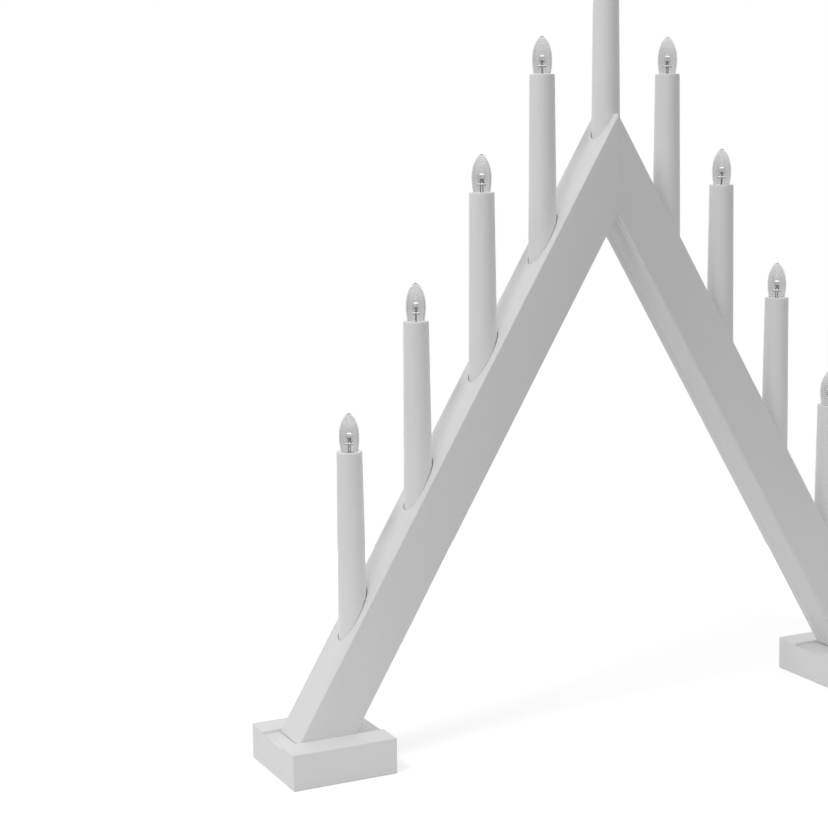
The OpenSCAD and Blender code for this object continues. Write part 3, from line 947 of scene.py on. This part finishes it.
# Cord gland: a bush along +Y with a rounded flange against the back of the leg
gland = {
    "boreRadius": 2.1,
    "wall": 1.0,
    "inner": 6.0,
    "leg": 17.75,
    "flangeEnd": 19.55,
    "flangeRadius": 5.5,
    "softness": (0.2, 0.3, 0.05, 0.1, 0.8, 0.7),
    "sides": 64,
}


def glandPiece():
    # Its softened outline turned round Z, then laid along +Y: (x, y, z) becomes (y, z, x)
    mount = next(mount for mount in frame["record"]["mounts"] if mount["name"] == "cord_outlet")
    x, _, z = mount["pos_m"]
    bore, flange, inner, leg, end = (
        gland[key] for key in ("boreRadius", "flangeRadius", "inner", "leg", "flangeEnd"))
    barrel = bore + gland["wall"]
    corners = [(bore, inner), (barrel, inner), (barrel, leg), (flange, leg), (flange, end), (bore, end)]
    upright = turned(softened(corners, gland["softness"]), gland["sides"], True)
    along = np.stack([upright[..., 1], upright[..., 2], upright[..., 0]], -1)
    piece = gridPiece("cordGland", [along * mm + np.array([x, 0, z])], glandPlastic)
    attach(piece, "root")
    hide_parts("cord_gland")


glandPiece()

# Nodes whose shape stays as it is get their finish here
for node, material in (("wiring", wireSheath), ("apex_dowels", beech), ("foot_screws", zinc),
                       ("lamp_holders", holderPlastic), ("screw_shells", brass), ("centre_contacts", brass)):
    for slot in frame["nodes"][node].material_slots:
        slot.link = "OBJECT"
        slot.material = material
print("other nodes finished")

# Studio: a pale round table a hair below the feet, which turns as white as the backdrop between two shares
# of its radius, so that its edge doesn't show, a room that is brighter overhead and behind, a white
# backdrop, and two wide lamps on the left, of which only the lower one shows in glass
studio = {
    "tableRadius": 0.62,
    "tableDrop": 0.0001,
    "tableGrey": 0.8,
    "tableRoughness": 0.9,
    "tableRows": 24,
    "tableSides": 96,
    "whitening": (0.55, 0.97),
    "lift": 0.43,
    "roomBase": 0.385,
    "roomGains": {("Z", 1): 0.17, ("Y", -1): 0.13, ("Y", 1): 0.33, ("X", 1): 0.12},
    "horizon": 0.03,
    "aim": (-0.1, 0.0, 0.3),
    "lamps": {
        "highLamp": {"place": (-0.9, -0.3, 1.2), "size": 0.46, "power": 4.7, "gloss": False},
        "sideLamp": {"place": (-1.0, 0.05, 0.75), "size": 0.55, "power": 0.45, "gloss": True},
    },
}


def behindTheView(tree):
    # 1 for rays that show the backdrop straight, in a gloss or through glass, and 0 for light on the object
    return anyRay(tree, "Is Camera Ray", "Is Glossy Ray", "Is Transmission Ray")


def makeTable():
    # A flat disc of rings (r cos a, r sin a) under the feet, which shines more and more towards its rim
    radius = studio["tableRadius"]
    ring = np.linspace(0, 1, studio["tableRows"])[:, None] * radius
    angle = roundAngles(studio["tableSides"])[None]
    depth = 0 * ring * angle - studio["tableDrop"]
    grid = np.stack([ring * np.cos(angle), ring * np.sin(angle), depth], -1)[::-1]
    material, tree, shader = newMaterial(
        "table", Roughness=studio["tableRoughness"], Specular_IOR_Level=0.0,
        Base_Color=greyTone(studio["tableGrey"]), Emission_Color=white)
    place = addNode(tree, "TexCoord", {}).outputs["Object"]
    far = addNode(tree, "VectorMath", {0: place}, operation="LENGTH").outputs["Value"]
    start, end = (share * radius for share in studio["whitening"])
    reach = ranged(tree, far, start, end, studio["lift"], 1)
    wire(tree, shader, Emission_Strength=calculated(tree, "MULTIPLY", reach, behindTheView(tree)))
    table = gridPiece("table", [grid], material)


def makeRoom():
    world = bpy.data.worlds.new("room")
    world.use_nodes = True
    tree = world.node_tree
    tree.nodes.clear()
    # Strength = base + gains times how far the direction points up, front, back and right, none from below
    way = addNode(tree, "TexCoord", {}).outputs["Generated"]
    axes = addNode(tree, "SeparateXYZ", {"Vector": way})
    total = studio["roomBase"]
    for (axis, sign), gain in studio["roomGains"].items():
        share = calculated(tree, "MULTIPLY", axes.outputs[axis], sign, clamp=True)
        total = calculated(tree, "MULTIPLY_ADD", share, gain, total)
    total = ranged(tree, axes.outputs["Z"], -studio["horizon"], studio["horizon"], 0, total)
    dim = addNode(tree, "Background", {"Color": white, "Strength": total})
    bright = addNode(tree, "Background", {"Color": white, "Strength": 1.0})
    mix = addNode(tree, "MixShader", {0: behindTheView(tree), 1: dim.outputs[0], 2: bright.outputs[0]})
    addNode(tree, "OutputWorld", {"Surface": mix.outputs[0]})
    bpy.context.scene.world = world


def softLamp(name, place, size, power, gloss):
    # A round lamp that looks at the studio's aim
    data = bpy.data.lights.new(name, "AREA")
    data.shape = "DISK"
    data.size = size
    data.energy = power
    aim = np.array(studio["aim"]) - np.array(place)
    away = -aim / np.linalg.norm(aim)
    across = np.cross((0, 0, 1), away)
    across /= np.linalg.norm(across)
    lamp = newObject(name, data)
    lamp.matrix_world = standing(place, across, np.cross(away, across), away)
    lamp.visible_camera = False
    lamp.visible_glossy = gloss
    lamp.visible_transmission = gloss


makeTable()
makeRoom()
for name, lamp in studio["lamps"].items():
    softLamp(name, **lamp)
bpy.context.scene.view_settings.view_transform = "Standard"
print("studio made")
